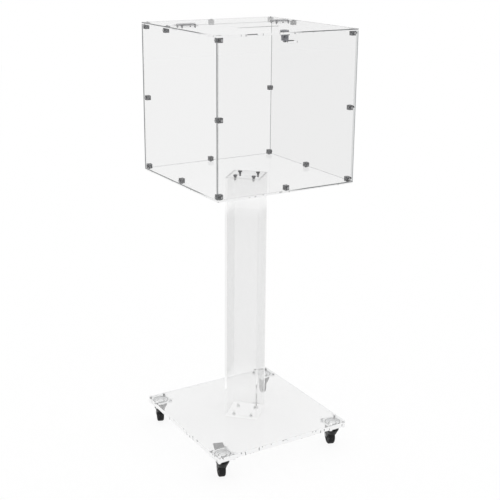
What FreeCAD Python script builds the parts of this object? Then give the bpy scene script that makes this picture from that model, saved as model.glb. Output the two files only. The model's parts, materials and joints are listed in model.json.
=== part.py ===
# Clear acrylic suggestion box on a square column and a base plate with four swivel casters.
# Millimetres, +Z up. The origin is on the floor under the column's axis, and the front with the lock
# faces -Y. The panels meet on small cube connectors, and the rear strip of the top carries the hinged flap.
import FreeCAD, Part
import os
import Sketcher
from FreeCAD import Placement, Rotation, Vector

doc = FreeCAD.newDocument("SuggestionBox")

# Driving dimensions: alias, value, what it measures
driving = [
    ("caster_height", 70, "floor to the underside of the base plate"),
    ("base_width", 408, "base plate, side to side"),
    ("base_depth", 419, "base plate, front to rear"),
    ("base_thick", 12, "base plate, thickness"),
    ("base_corner", 8, "base plate, corner radius"),
    ("column_side", 93, "column tube, outside of one face"),
    ("column_wall", 5, "column tube, wall"),
    ("column_length", 681, "column tube, length"),
    ("block_thick", 12, "end blocks in the column, thickness"),
    ("column_screw_circle", 35, "column screws, distance from the axis"),
    ("column_screw_radius", 3, "column screws, shank radius"),
    ("column_head_radius", 5.5, "column screws, head radius"),
    ("column_head_height", 3, "column screws, head height"),
    ("column_screw_length", 15, "column screws, shank length"),
    ("screw_clearance", 0.2, "screw in its hole, all round"),
    ("box_side", 400, "box, outside width and depth"),
    ("wall_height", 382, "box walls, height"),
    ("panel", 5, "box panels, thickness"),
    ("strip_depth", 134, "fixed strip of the top, rear edge to hinge line"),
    ("lid_gap", 1, "gap between the strip and the flap"),
    ("cube", 12, "cube connector, side"),
    ("strip_cube_inset", 9, "side connectors under the strip, distance behind the hinge line"),
    ("slot_length", 120, "letter slot, length"),
    ("slot_width", 6, "letter slot, width"),
    ("slot_inset", 148, "letter slot, distance behind the front edge"),
    ("hinge_inset", 60, "hinge centres, distance from the side edges"),
    ("hinge_length", 50, "hinge leaves, length along the pin"),
    ("leaf_width", 20, "hinge leaf, pin to outer edge"),
    ("leaf_thick", 1.2, "hinge leaf, thickness"),
    ("knuckle_radius", 2.6, "hinge knuckle, outside radius"),
    ("knuckle_length", 15, "hinge, each outer knuckle"),
    ("knuckle_gap", 0.4, "hinge, play between knuckles and under them"),
    ("hinge_pin_radius", 1.2, "hinge pin, radius"),
    ("running_fit", 0.05, "running fit, radial clearance"),
    ("hinge_screw_x", 18.5, "hinge screws, distance from the hinge's middle"),
    ("hinge_screw_y", 13, "hinge screws, distance from the pin"),
    ("hinge_screw_radius", 1.5, "hinge screws, shank radius"),
    ("hinge_head_radius", 3, "hinge screws, head radius"),
    ("hinge_head_height", 1.5, "hinge screws, head height"),
    ("hinge_screw_length", 12, "hinge screws, shank length"),
    ("hinge_nut_radius", 3.1, "hinge nuts, corner radius"),
    ("hinge_nut_height", 2.4, "hinge nuts, height"),
    ("lock_inset", 28, "lock axis, distance behind the front edge"),
    ("lock_head_radius", 11, "lock housing, head radius"),
    ("lock_head_height", 3, "lock housing, head height"),
    ("lock_head_bevel", 1, "lock housing, bevel round the head"),
    ("lock_barrel_radius", 9, "lock housing, threaded barrel radius"),
    ("lock_barrel_below", 17, "lock housing, length under the flap"),
    ("lock_nut_radius", 13, "lock nut, corner radius"),
    ("lock_nut_height", 4, "lock nut, height"),
    ("plug_radius", 6, "lock plug, radius"),
    ("plug_proud", 0.4, "lock plug, height above the housing"),
    ("plug_tail", 6, "lock plug, side of the square tail"),
    ("keyway_length", 8, "keyway, length"),
    ("keyway_width", 1.6, "keyway, width"),
    ("keyway_depth", 9, "keyway, depth"),
    ("cam_reach", 26, "lock cam, axis to tip"),
    ("cam_width", 10, "lock cam, width"),
    ("cam_thick", 2, "lock cam, thickness"),
    ("cam_screw_radius", 1.5, "cam screw, shank radius"),
    ("cam_head_radius", 3.5, "cam screw, head radius"),
    ("cam_head_height", 2.2, "cam screw, head height"),
    ("cam_screw_length", 7, "cam screw, shank length"),
    ("play", 0.3, "gap between parts that move past each other"),
    ("catch_left", 8, "catch slot in the front wall, lock axis to its left end"),
    ("catch_right", 20, "catch slot in the front wall, lock axis to its right end"),
    ("catch_height", 5, "catch slot in the front wall, height"),
    ("caster_inset", 27.5, "caster swivel axes, distance in from the base plate's edges"),
    ("trail_angle", 70, "direction in which the casters trail, degrees from +X"),
    ("trail", 22, "wheel axle behind the swivel axis"),
    ("plate_side", 53, "caster mounting plate, side"),
    ("plate_corner", 5, "caster mounting plate, corner radius"),
    ("plate_thick", 2, "caster mounting plate, thickness"),
    ("bolt_offset", 21.5, "caster bolts, distance from the swivel axis each way"),
    ("bolt_radius", 2.5, "caster bolts, shank radius"),
    ("bolt_head_radius", 4.6, "caster bolts, corner radius of head and nut"),
    ("bolt_head_height", 3.2, "caster bolts, height of head and nut"),
    ("bolt_tail", 1, "caster bolts, end past the nut"),
    ("dish_radius", 20.5, "raceway dish, outside radius"),
    ("dish_depth", 6.5, "raceway dish, depth under the base plate"),
    ("dish_wall", 2, "raceway dish, metal thickness"),
    ("edge_break", 1, "bevel on the edges of turned and moulded caster parts"),
    ("race_inner", 9, "ball race, inner radius"),
    ("race_outer", 16, "ball race, outer radius"),
    ("race_height", 3, "ball race, height"),
    ("kingpin_radius", 4, "kingpin, shank radius"),
    ("kingpin_head_radius", 11, "kingpin, head radius"),
    ("kingpin_head_height", 1.5, "kingpin, height of the head and of the riveted end"),
    ("kingpin_foot_radius", 6.5, "kingpin, radius of the riveted end"),
    ("kingpin_room", 1, "fork, room round the riveted end"),
    ("hood_radius", 18, "fork hood, radius"),
    ("hood_rim", 6, "fork hood, height of its upright rim"),
    ("hood_cone", 14, "fork hood, height of its cone"),
    ("hood_web", 8, "fork hood, thickness on the kingpin"),
    ("fork_width", 22, "fork, width over the cheeks"),
    ("fork_nose", 14.4, "fork, swivel axis to the front of the cheeks under the rim"),
    ("fork_shoulder", 2, "fork, cheeks below the top of the hood"),
    ("cheek_round", 8, "fork, radius of the cheek's end about the axle"),
    ("cheek_foot", 22.3, "fork, floor to the flat of the cheeks beside the axle"),
    ("wheel_radius", 25, "tyre, radius"),
    ("wheel_width", 18, "tyre, width"),
    ("wheel_gap", 0.4, "tyre to fork cheek"),
    ("wheel_arch", 1.8, "tread to the fork's crown"),
    ("tread_round", 2.5, "tyre, bevel of the shoulders"),
    ("hub_radius", 17, "wheel hub, outside radius"),
    ("hub_boss", 7, "wheel hub, boss radius"),
    ("hub_recess", 3, "wheel hub, depth of the dished side"),
    ("axle_radius", 3, "wheel axle, radius"),
    ("axle_head_radius", 4.5, "wheel axle, head radius"),
    ("axle_head_height", 1.2, "wheel axle, head height"),
    ("brake_x", 34.5, "brake pedal pivot, distance behind the swivel axis"),
    ("brake_z", 53.5, "brake pedal pivot, height above the floor"),
    ("brake_pin_radius", 2, "brake pedal pin, radius"),
    ("brake_pin_proud", 0.5, "brake pedal pin, end standing out of each cheek"),
    ("brake_hub_radius", 4, "brake pedal hub, radius"),
    ("brake_reach", 74, "brake pedal, swivel axis to its end"),
    ("brake_arm", 12, "brake pedal, pivot to the foot of the pad"),
    ("brake_arm_rise", 7, "brake pedal, pivot to the top of the arm's end"),
    ("pad_rise", 8, "brake pedal, pivot to the top of the pad's end"),
    ("pad_slope", 1.2, "brake pedal, fall of the pad from its end to the arm"),
    ("pad_lap", 2, "brake pedal, pad over the arm"),
    ("shoe_front", 0.4, "brake shoe, tip in front of the pivot"),
    ("shoe_front_drop", 3.6, "brake shoe, tip below the pivot"),
    ("shoe_rear", 4, "brake shoe, heel behind the pivot"),
    ("shoe_drop", 6.4, "brake shoe, heel below the pivot"),
    ("neck_rear", 5.6, "brake pedal, underside of the arm's neck behind the pivot"),
    ("neck_drop", 0.8, "brake pedal, underside of the arm's neck below the pivot"),
    ("pedal_width", 27, "brake pedal, width of the pad"),
    ("pedal_thick", 3, "brake pedal, thickness of the pad"),
]

sizes = doc.addObject("Spreadsheet::Sheet", "Sizes")
for row, (alias, number, meaning) in enumerate(driving, start=1):
    sizes.set(f"A{row}", meaning)
    sizes.set(f"B{row}", str(number))
    sizes.setAlias(f"B{row}", alias)
doc.recompute()

# Levels and lines worked out from the driving dimensions
base_under = "Sizes.caster_height"
base_top = "(Sizes.caster_height + Sizes.base_thick)"
floor_under = f"({base_top} + Sizes.column_length)"
floor_top = f"({floor_under} + Sizes.panel)"
lid_under = f"({floor_top} + Sizes.wall_height)"
lid_top = f"({lid_under} + Sizes.panel)"
half_box = "(Sizes.box_side / 2)"
wall_inside = "(Sizes.box_side / 2 - Sizes.panel)"
wall_middle = "(Sizes.box_side / 2 - Sizes.panel / 2)"
hinge_line = "(Sizes.box_side / 2 - Sizes.strip_depth)"
pin_level = f"({lid_top} + Sizes.knuckle_radius + Sizes.knuckle_gap)"
hinge_x = "(Sizes.box_side / 2 - Sizes.hinge_inset)"
slot_y = "(Sizes.box_side / 2 - Sizes.slot_inset)"
lock_y = "(Sizes.box_side / 2 - Sizes.lock_inset)"
caster_x = "(Sizes.base_width / 2 - Sizes.caster_inset)"
caster_y = "(Sizes.base_depth / 2 - Sizes.caster_inset)"
column_half = "(Sizes.column_side / sqrt(2))"
column_inner = "((Sizes.column_side - 2 * Sizes.column_wall) / sqrt(2))"
housing_foot = f"({lid_under} - Sizes.lock_barrel_below)"
cam_top = f"({housing_foot} - Sizes.play)"
cam_middle = f"({cam_top} - Sizes.cam_thick / 2)"
hood_top = "(Sizes.caster_height - Sizes.dish_depth - Sizes.race_height - Sizes.play)"
arch_radius = "(Sizes.wheel_radius + Sizes.wheel_arch)"
slot_between = "(Sizes.wheel_width + 2 * Sizes.wheel_gap)"


def size(alias):
    """One driving dimension as a number."""
    return float(sizes.get(alias))


def bind(thing, **formulas):
    """Tie properties of one object to the sheet."""
    for name, formula in formulas.items():
        thing.setExpression(name, str(formula))


def seat(thing, x="0", y="0", z="0"):
    """Tie the place of one object to the sheet."""
    for axis, formula in (("x", x), ("y", y), ("z", z)):
        thing.setExpression(".Placement.Base." + axis, str(formula))


def box(name, length, width, height, x, y, z):
    """A block from its low corner."""
    block = doc.addObject("Part::Box", name)
    bind(block, Length=length, Width=width, Height=height)
    seat(block, x, y, z)
    return block


def cylinder(name, radius, height, x, y, z, turn=None):
    """A cylinder from the middle of its foot, standing along Z unless it is turned."""
    rod = doc.addObject("Part::Cylinder", name)
    bind(rod, Radius=radius, Height=height)
    if turn is not None:
        rod.Placement = Placement(Vector(), turn)
    seat(rod, x, y, z)
    return rod


def hexagon(name, radius, height, x, y, z):
    """A six-sided prism from the middle of its foot."""
    prism = doc.addObject("Part::Prism", name)
    prism.Polygon = 6
    bind(prism, Circumradius=radius, Height=height)
    seat(prism, x, y, z)
    return prism


def fuse(name, pieces):
    joined = doc.addObject("Part::MultiFuse", name)
    joined.Shapes = pieces
    return joined


def cut(name, base, tool):
    rest = doc.addObject("Part::Cut", name)
    rest.Base = base
    rest.Tool = tool
    return rest


def group(name, pieces):
    """Separate solids kept as one sub-part."""
    held = doc.addObject("Part::Compound", name)
    held.Links = pieces
    return held


def mirrored(name, piece, axis, about="0"):
    """A copy on the other side of the plane square to the axis at the given place."""
    other = doc.addObject("Part::Mirroring", name)
    other.Source = piece
    other.Normal = Vector(axis == "x", axis == "y", axis == "z")
    other.setExpression(".Base." + axis, str(about))
    return other


def both_sides(name, piece, axis, about="0"):
    return group(name, [piece, mirrored(name + "Other", piece, axis, about)])


def four_corners(name, piece):
    """The piece at one corner, repeated at all four."""
    return both_sides(name, both_sides(name + "Pair", piece, "x"), "y")


class Outline:
    """A sketch on one of a body's own planes, with every point held by its distances from the origin."""

    def __init__(self, body, name, plane):
        self.sketch = body.newObject("Sketcher::SketchObject", name)
        own_plane = next(f for f in body.Origin.OriginFeatures if f.Role == plane)
        self.sketch.AttachmentSupport = [(own_plane, "")]
        self.sketch.MapMode = "FlatFace"

    def hold(self, geometry, point, x, y):
        """Tie one point to the sheet."""
        for kind, formula in (("DistanceX", x), ("DistanceY", y)):
            number = self.sketch.addConstraint(Sketcher.Constraint(kind, -1, 1, geometry, point, 1.0))
            self.sketch.setExpression(f"Constraints[{number}]", str(formula))

    def polygon(self, points):
        """A closed run of straight lines through the points."""
        count = len(points)
        first = len(self.sketch.Geometry)
        spread = Rotation(Vector(0, 0, 1), 360.0 / count)
        corners = [Vector(10, 0, 0)]
        for _ in range(count - 1):
            corners.append(spread.multVec(corners[-1]))
        for index in range(count):
            self.sketch.addGeometry(Part.LineSegment(corners[index], corners[(index + 1) % count]), False)
        for index in range(count):
            after = first + (index + 1) % count
            self.sketch.addConstraint(Sketcher.Constraint("Coincident", first + index, 2, after, 1))
        for index, (x, y) in enumerate(points):
            self.hold(first + index, 1, x, y)

    def rectangle(self, left, right, low, high):
        self.polygon([(left, low), (right, low), (right, high), (left, high)])

    def circle(self, radius, x="0", y="0"):
        number = self.sketch.addGeometry(Part.Circle(Vector(1, 1, 0), Vector(0, 0, 1), 1.0), False)
        self.hold(number, 3, x, y)
        radius_number = self.sketch.addConstraint(Sketcher.Constraint("Radius", number, 1.0))
        self.sketch.setExpression(f"Constraints[{radius_number}]", str(radius))


def body_named(name):
    return doc.addObject("PartDesign::Body", name)


def pad(body, outline, length, both=False):
    """Raise an outline into a solid, up from its plane or to both sides of it."""
    feature = body.newObject("PartDesign::Pad", outline.sketch.Name + "Pad")
    feature.Profile = outline.sketch
    if both:
        feature.SideType = "Symmetric"
    bind(feature, Length=length)
    return feature


def pocket(body, outline, length, both=False, down=True):
    """Cut an outline out of a solid, below its plane, above it, or to both sides of it."""
    feature = body.newObject("PartDesign::Pocket", outline.sketch.Name + "Pocket")
    feature.Profile = outline.sketch
    if both:
        feature.SideType = "Symmetric"
    feature.Reversed = not down
    bind(feature, Length=length)
    return feature


def turned(body, name, points):
    """A solid turned about Z from half of its section: distance from the axis, height."""
    section = Outline(body, name, "XZ_Plane")
    section.polygon(points)
    feature = body.newObject("PartDesign::Revolution", name + "Turned")
    feature.Profile = section.sketch
    feature.ReferenceAxis = (section.sketch, ["V_Axis"])
    feature.Angle = 360.0
    return feature


def round_corners(body, sheet, half_width, half_depth, radius):
    """Round the four upright corners of a sheet."""
    doc.recompute()
    corners = []
    for number, edge in enumerate(sheet.Shape.Edges, start=1):
        middle = edge.CenterOfMass
        if abs(abs(middle.x) - half_width) < 0.01 and abs(abs(middle.y) - half_depth) < 0.01:
            corners.append(f"Edge{number}")
    rounds = body.newObject("PartDesign::Fillet", sheet.Name + "Rounds")
    rounds.Base = (sheet, corners)
    bind(rounds, Radius=radius)
    body.Tip = rounds


up = Vector(0, 0, 1)
nodes = []


# Base plate: one clear sheet with rounded corners, bored for the casters and for the column
def base_plate():
    body = body_named("base_plate")
    outline = Outline(body, "basePlateOutline", "XY_Plane")
    half_width = "Sizes.base_width / 2"
    half_depth = "Sizes.base_depth / 2"
    outline.rectangle("-" + half_width, half_width, "-" + half_depth, half_depth)
    for side in ("", "-"):
        for end in ("", "-"):
            for across in ("+", "-"):
                for along in ("+", "-"):
                    outline.circle("Sizes.bolt_radius + Sizes.screw_clearance",
                                   f"{side}({caster_x} {across} Sizes.bolt_offset)",
                                   f"{end}({caster_y} {along} Sizes.bolt_offset)")
    column_holes(outline, "Sizes.column_screw_radius + Sizes.screw_clearance")
    sheet = pad(body, outline, "Sizes.base_thick")
    seat(body, z=base_under)
    round_corners(body, sheet, size("base_width") / 2, size("base_depth") / 2, "Sizes.base_corner")
    return body


def column_holes(outline, radius):
    """Four holes on the column's screw circle, towards its corners."""
    circle = "Sizes.column_screw_circle"
    for x, y in ((circle, "0"), ("-" + circle, "0"), ("0", circle), ("0", "-" + circle)):
        outline.circle(radius, x, y)


def diamond(outline, half):
    outline.polygon([(half, "0"), ("0", half), ("-" + half, "0"), ("0", "-" + half)])


# Column: a square clear tube whose corners point to the front, the rear and the sides
def column_tube():
    body = body_named("column_tube")
    outline = Outline(body, "columnOutline", "XY_Plane")
    diamond(outline, column_half)
    diamond(outline, column_inner)
    pad(body, outline, "Sizes.column_length")
    seat(body, z=base_top)
    return body


# End blocks: bonded flush inside the column's ends, tapped for the screws
def end_block(name, level):
    body = body_named(name)
    outline = Outline(body, name + "Outline", "XY_Plane")
    diamond(outline, column_inner)
    column_holes(outline, "Sizes.column_screw_radius")
    pad(body, outline, "Sizes.block_thick")
    seat(body, z=level)
    return body


def column_screws(name, head_level, shank_level):
    """Four pan-head screws, two towards the sides and two towards the front and the rear."""
    rows = []
    circle = "Sizes.column_screw_circle"
    for axis, x, y in (("x", circle, "0"), ("y", "0", circle)):
        head = cylinder(f"{name}Head{axis}", "Sizes.column_head_radius", "Sizes.column_head_height",
                        x, y, head_level)
        shank = cylinder(f"{name}Shank{axis}", "Sizes.column_screw_radius", "Sizes.column_screw_length",
                         x, y, shank_level)
        rows.append(both_sides(f"{name}Row{axis}", fuse(f"{name}Screw{axis}", [head, shank]), axis))
    return group(name, rows)


# Panels of the box: the front and rear walls run full width and the side walls fit between them
def box_floor():
    body = body_named("box_floor")
    outline = Outline(body, "boxFloorOutline", "XY_Plane")
    outline.rectangle("-" + half_box, half_box, "-" + half_box, half_box)
    column_holes(outline, "Sizes.column_screw_radius + Sizes.screw_clearance")
    pad(body, outline, "Sizes.panel")
    seat(body, z=floor_under)
    return body


def wall(name, plane, half_width, x, y):
    body = body_named(name)
    outline = Outline(body, name + "Outline", plane)
    outline.rectangle("-" + half_width, half_width, "0", "Sizes.wall_height")
    pad(body, outline, "Sizes.panel", both=True)
    seat(body, x, y, floor_top)
    return body


def front_wall():
    """The front wall has the slot that the lock's cam turns into."""
    body = wall("front_wall", "XZ_Plane", half_box, "0", "-" + wall_middle)
    catch = Outline(body, "catchOutline", "XZ_Plane")
    middle = f"({cam_middle} - {floor_top})"
    catch.rectangle("-Sizes.catch_left", "Sizes.catch_right",
                    f"{middle} - Sizes.catch_height / 2", f"{middle} + Sizes.catch_height / 2")
    pocket(body, catch, "2 * Sizes.panel", both=True)
    return body


def hinge_holes(outline, y):
    for side in ("", "-"):
        for across in ("+", "-"):
            outline.circle("Sizes.hinge_screw_radius + Sizes.screw_clearance",
                           f"{side}({hinge_x} {across} Sizes.hinge_screw_x)", y)


def rear_strip():
    body = body_named("rear_strip")
    outline = Outline(body, "rearStripOutline", "XY_Plane")
    outline.rectangle("-" + half_box, half_box, f"{hinge_line} + Sizes.lid_gap / 2", half_box)
    hinge_holes(outline, f"{hinge_line} + Sizes.hinge_screw_y")
    pad(body, outline, "Sizes.panel")
    seat(body, z=lid_under)
    return body


def lid_flap():
    """The hinged part of the top, with the letter slot and the hole for the lock."""
    body = body_named("lid_flap")
    outline = Outline(body, "lidFlapOutline", "XY_Plane")
    outline.rectangle("-" + half_box, half_box, "-" + half_box, f"{hinge_line} - Sizes.lid_gap / 2")
    hinge_holes(outline, f"{hinge_line} - Sizes.hinge_screw_y")
    outline.circle("Sizes.lock_barrel_radius + Sizes.screw_clearance", "0", "-" + lock_y)
    pad(body, outline, "Sizes.panel")
    straight = Outline(body, "letterSlotOutline", "XY_Plane")
    end = "(Sizes.slot_length - Sizes.slot_width) / 2"
    straight.rectangle("-" + end, end, f"-{slot_y} - Sizes.slot_width / 2",
                       f"-{slot_y} + Sizes.slot_width / 2")
    pocket(body, straight, "Sizes.panel", down=False)
    rounds = Outline(body, "letterSlotEnds", "XY_Plane")
    rounds.circle("Sizes.slot_width / 2", end, "-" + slot_y)
    rounds.circle("Sizes.slot_width / 2", "-" + end, "-" + slot_y)
    pocket(body, rounds, "Sizes.panel", down=False)
    seat(body, z=lid_under)
    return body


# Cube connectors in the box's inside edges
corner_cube = f"({wall_inside} - Sizes.cube)"


def cube_at(name, x, y, z):
    return box(name, "Sizes.cube", "Sizes.cube", "Sizes.cube", x, y, z)


def bottom_cubes():
    """Eight on the floor: one in each corner and one at the middle of each wall."""
    corner = four_corners("bottomCornerCubes",
                          cube_at("bottomCornerCube", corner_cube, corner_cube, floor_top))
    beside = cube_at("bottomSideCube", corner_cube, "-Sizes.cube / 2", floor_top)
    behind = cube_at("bottomRearCube", "-Sizes.cube / 2", corner_cube, floor_top)
    return group("bottom_cubes", [corner, both_sides("bottomSideCubes", beside, "x"),
                                  both_sides("bottomRearCubes", behind, "y")])


def middle_cubes():
    """Four half way up the upright edges."""
    level = f"({floor_top} + Sizes.wall_height / 2 - Sizes.cube / 2)"
    return four_corners("middle_cubes", cube_at("middleCube", corner_cube, corner_cube, level))


def top_cubes():
    """Four in the top corners."""
    level = f"({lid_under} - Sizes.cube)"
    return four_corners("top_cubes", cube_at("topCube", corner_cube, corner_cube, level))


def strip_cubes():
    """Three more under the fixed strip: one at each side wall and one at the rear wall."""
    level = f"({lid_under} - Sizes.cube)"
    beside = cube_at("stripSideCube", corner_cube,
                     f"{hinge_line} + Sizes.strip_cube_inset - Sizes.cube / 2", level)
    behind = cube_at("stripRearCube", "-Sizes.cube / 2", corner_cube, level)
    return group("strip_cubes", [both_sides("stripSideCubes", beside, "x"), behind])


# Butt hinges: knuckles rolled about a pin that lies just above the top, on the line between strip and flap
along_x = Rotation(Vector(0, 1, 0), 90)


def knuckle(name, start, length):
    return cylinder(name, "Sizes.knuckle_radius", length, start, hinge_line, pin_level, along_x)


def hinge_bore(name):
    return cylinder(name, "Sizes.hinge_pin_radius + Sizes.running_fit", "2 * Sizes.hinge_length",
                    f"{hinge_x} - Sizes.hinge_length", hinge_line, pin_level, along_x)


def leaf_plate(name, y, start, length, width):
    return box(name, length, width, "Sizes.leaf_thick", start, y, lid_top)


leaf_clear = "(Sizes.knuckle_radius + Sizes.knuckle_gap)"
hinge_start = f"({hinge_x} - Sizes.hinge_length / 2)"
inner_start = f"({hinge_start} + Sizes.knuckle_length + Sizes.knuckle_gap)"
inner_length = "(Sizes.hinge_length - 2 * Sizes.knuckle_length - 2 * Sizes.knuckle_gap)"


def leaf_screw_holes(name, y):
    drill = cylinder(name, "Sizes.hinge_screw_radius + Sizes.screw_clearance", "4 * Sizes.leaf_thick",
                     f"{hinge_x} + Sizes.hinge_screw_x", y, f"{lid_top} - Sizes.leaf_thick")
    return both_sides(name + "s", drill, "x", hinge_x)


def fixed_leaves():
    """The leaves on the strip, each with its two outer knuckles."""
    main = leaf_plate("fixedLeafPlate", f"{hinge_line} + {leaf_clear}", hinge_start, "Sizes.hinge_length",
                      f"Sizes.leaf_width - {leaf_clear}")
    tab = leaf_plate("fixedLeafTab", hinge_line, hinge_start, "Sizes.knuckle_length", leaf_clear)
    tabs = both_sides("fixedLeafTabs", tab, "x", hinge_x)
    roll = both_sides("fixedKnuckles", knuckle("fixedKnuckle", hinge_start, "Sizes.knuckle_length"),
                      "x", hinge_x)
    blank = fuse("fixedLeafBlank", [main, tabs, roll])
    holes = leaf_screw_holes("fixedLeafHole", f"{hinge_line} + Sizes.hinge_screw_y")
    leaf = cut("fixedLeaf", blank, fuse("fixedLeafTools", [hinge_bore("fixedLeafBore"), holes]))
    return both_sides("hinge_fixed_leaves", leaf, "x")


def moving_leaves():
    """The leaves on the flap, each with the knuckle between the other two."""
    main = leaf_plate("movingLeafPlate", f"{hinge_line} - Sizes.leaf_width", hinge_start,
                      "Sizes.hinge_length", f"Sizes.leaf_width - {leaf_clear}")
    tab = leaf_plate("movingLeafTab", f"{hinge_line} - {leaf_clear}", inner_start, inner_length, leaf_clear)
    blank = fuse("movingLeafBlank", [main, tab, knuckle("movingKnuckle", inner_start, inner_length)])
    holes = leaf_screw_holes("movingLeafHole", f"{hinge_line} - Sizes.hinge_screw_y")
    leaf = cut("movingLeaf", blank, fuse("movingLeafTools", [hinge_bore("movingLeafBore"), holes]))
    return both_sides("hinge_moving_leaves", leaf, "x")


def hinge_pins():
    pin = cylinder("hingePin", "Sizes.hinge_pin_radius", "Sizes.hinge_length", hinge_start, hinge_line,
                   pin_level, along_x)
    return both_sides("hinge_pins", pin, "x")


def hinge_pair(name, piece):
    """A piece at one screw place of one hinge, repeated at both places of both hinges."""
    return both_sides(name, both_sides(name + "Pair", piece, "x", hinge_x), "x")


def hinge_screws(name, y):
    x = f"{hinge_x} + Sizes.hinge_screw_x"
    top = f"({lid_top} + Sizes.leaf_thick)"
    head = cylinder(name + "Head", "Sizes.hinge_head_radius", "Sizes.hinge_head_height", x, y, top)
    shank = cylinder(name + "Shank", "Sizes.hinge_screw_radius", "Sizes.hinge_screw_length", x, y,
                     f"{top} - Sizes.hinge_screw_length")
    return hinge_pair(name, fuse(name + "Screw", [head, shank]))


def hinge_nuts(name, y):
    x = f"{hinge_x} + Sizes.hinge_screw_x"
    blank = hexagon(name + "Blank", "Sizes.hinge_nut_radius", "Sizes.hinge_nut_height", x, y,
                    f"{lid_under} - Sizes.hinge_nut_height")
    bore = cylinder(name + "Bore", "Sizes.hinge_screw_radius", "2 * Sizes.hinge_nut_height", x, y,
                    f"{lid_under} - 2 * Sizes.hinge_nut_height")
    return hinge_pair(name, cut(name + "Nut", blank, bore))


# Cam lock: a flanged housing through the flap, held by a ring nut, with a plug that turns the cam
def lock_housing():
    body = body_named("lock_housing")
    bore = "Sizes.plug_radius + Sizes.running_fit"
    head = "Sizes.panel + Sizes.lock_head_height"
    turned(body, "housingSection", [
        (bore, "-Sizes.lock_barrel_below"),
        ("Sizes.lock_barrel_radius", "-Sizes.lock_barrel_below"),
        ("Sizes.lock_barrel_radius", "Sizes.panel"),
        ("Sizes.lock_head_radius", "Sizes.panel"),
        ("Sizes.lock_head_radius", f"{head} - Sizes.lock_head_bevel"),
        ("Sizes.lock_head_radius - Sizes.lock_head_bevel", head),
        (bore, head),
    ])
    seat(body, "0", "-" + lock_y, lid_under)
    return body


def lock_nut():
    blank = hexagon("lockNutBlank", "Sizes.lock_nut_radius", "Sizes.lock_nut_height", "0", "-" + lock_y,
                    f"{lid_under} - Sizes.lock_nut_height")
    bore = cylinder("lockNutBore", "Sizes.lock_barrel_radius", "2 * Sizes.lock_nut_height", "0",
                    "-" + lock_y, f"{lid_under} - 1.5 * Sizes.lock_nut_height")
    return cut("lock_nut", blank, bore)


def lock_plug():
    """The plug: a round body with a keyway in its face and a square tail tapped for the cam screw."""
    body = body_named("lock_plug")
    rise = "(Sizes.panel + Sizes.lock_head_height + Sizes.plug_proud)"
    core = Outline(body, "plugCore", "XY_Plane")
    core.circle("Sizes.plug_radius")
    drum = pad(body, core, f"Sizes.lock_barrel_below + {rise}")
    seat(body, "0", "-" + lock_y, housing_foot)
    doc.recompute()
    tail = Outline(body, "plugTail", "XY_Plane")
    half = "Sizes.plug_tail / 2"
    tail.rectangle("-" + half, half, "-" + half, half)
    square = pad(body, tail, "Sizes.play + Sizes.cam_thick")
    square.Reversed = True
    tap = Outline(body, "plugTap", "XY_Plane")
    tap.circle("Sizes.cam_screw_radius")
    pocket(body, tap, "2 * Sizes.cam_screw_length", both=True)
    keyway = Outline(body, "keyway", "XZ_Plane")
    drum_top = f"(Sizes.lock_barrel_below + {rise})"
    keyway.rectangle("-Sizes.keyway_width / 2", "Sizes.keyway_width / 2",
                     f"{drum_top} - Sizes.keyway_depth", f"{drum_top} + Sizes.plug_proud")
    pocket(body, keyway, "Sizes.keyway_length", both=True)
    return body


def lock_cam():
    """A flat bar with round ends and a square hole, pointing to the right when unlocked."""
    body = body_named("lock_cam")
    half = "Sizes.cam_width / 2"
    bar = Outline(body, "camBar", "XY_Plane")
    bar.rectangle("0", f"Sizes.cam_reach - {half}", "-" + half, half)
    pad(body, bar, "Sizes.cam_thick")
    near = Outline(body, "camNearEnd", "XY_Plane")
    near.circle(half)
    pad(body, near, "Sizes.cam_thick")
    far = Outline(body, "camFarEnd", "XY_Plane")
    far.circle(half, f"Sizes.cam_reach - {half}")
    pad(body, far, "Sizes.cam_thick")
    hole = Outline(body, "camHole", "XY_Plane")
    square = "Sizes.plug_tail / 2"
    hole.rectangle("-" + square, square, "-" + square, square)
    pocket(body, hole, "Sizes.cam_thick", down=False)
    seat(body, "0", "-" + lock_y, f"{cam_top} - Sizes.cam_thick")
    return body


def cam_screw():
    foot = f"({cam_top} - Sizes.cam_thick)"
    head = cylinder("camScrewHead", "Sizes.cam_head_radius", "Sizes.cam_head_height", "0", "-" + lock_y,
                    f"{foot} - Sizes.cam_head_height")
    shank = cylinder("camScrewShank", "Sizes.cam_screw_radius", "Sizes.cam_screw_length", "0",
                     "-" + lock_y, foot)
    return fuse("lock_cam_screw", [head, shank])


# Casters, fixed side: pressed plates with a raceway dish, ball races, kingpins and bolts at all four corners
def caster_plates():
    body = body_named("casterPlate")
    outline = Outline(body, "casterPlateOutline", "XY_Plane")
    half = "Sizes.plate_side / 2"
    outline.rectangle("-" + half, half, "-" + half, half)
    for across in ("", "-"):
        for along in ("", "-"):
            outline.circle("Sizes.bolt_radius + Sizes.screw_clearance", across + "Sizes.bolt_offset",
                           along + "Sizes.bolt_offset")
    mouth = "Sizes.dish_radius - Sizes.dish_wall"
    outline.circle(mouth)
    sheet = pad(body, outline, "Sizes.plate_thick")
    sheet.Reversed = True
    round_corners(body, sheet, size("plate_side") / 2, size("plate_side") / 2, "Sizes.plate_corner")
    seat(body, caster_x, caster_y, base_under)
    doc.recompute()
    bore = "Sizes.kingpin_radius"
    floor = "-Sizes.dish_depth"
    inside = "-Sizes.dish_depth + Sizes.dish_wall"
    turned(body, "dishSection", [
        (bore, floor),
        (mouth, floor),
        ("Sizes.dish_radius", "-Sizes.plate_thick - Sizes.edge_break"),
        ("Sizes.dish_radius", "-Sizes.plate_thick / 2"),
        (mouth, "-Sizes.plate_thick / 2"),
        (f"{mouth} - Sizes.edge_break", inside),
        (bore, inside),
    ])
    return four_corners("caster_plates", body)


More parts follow.
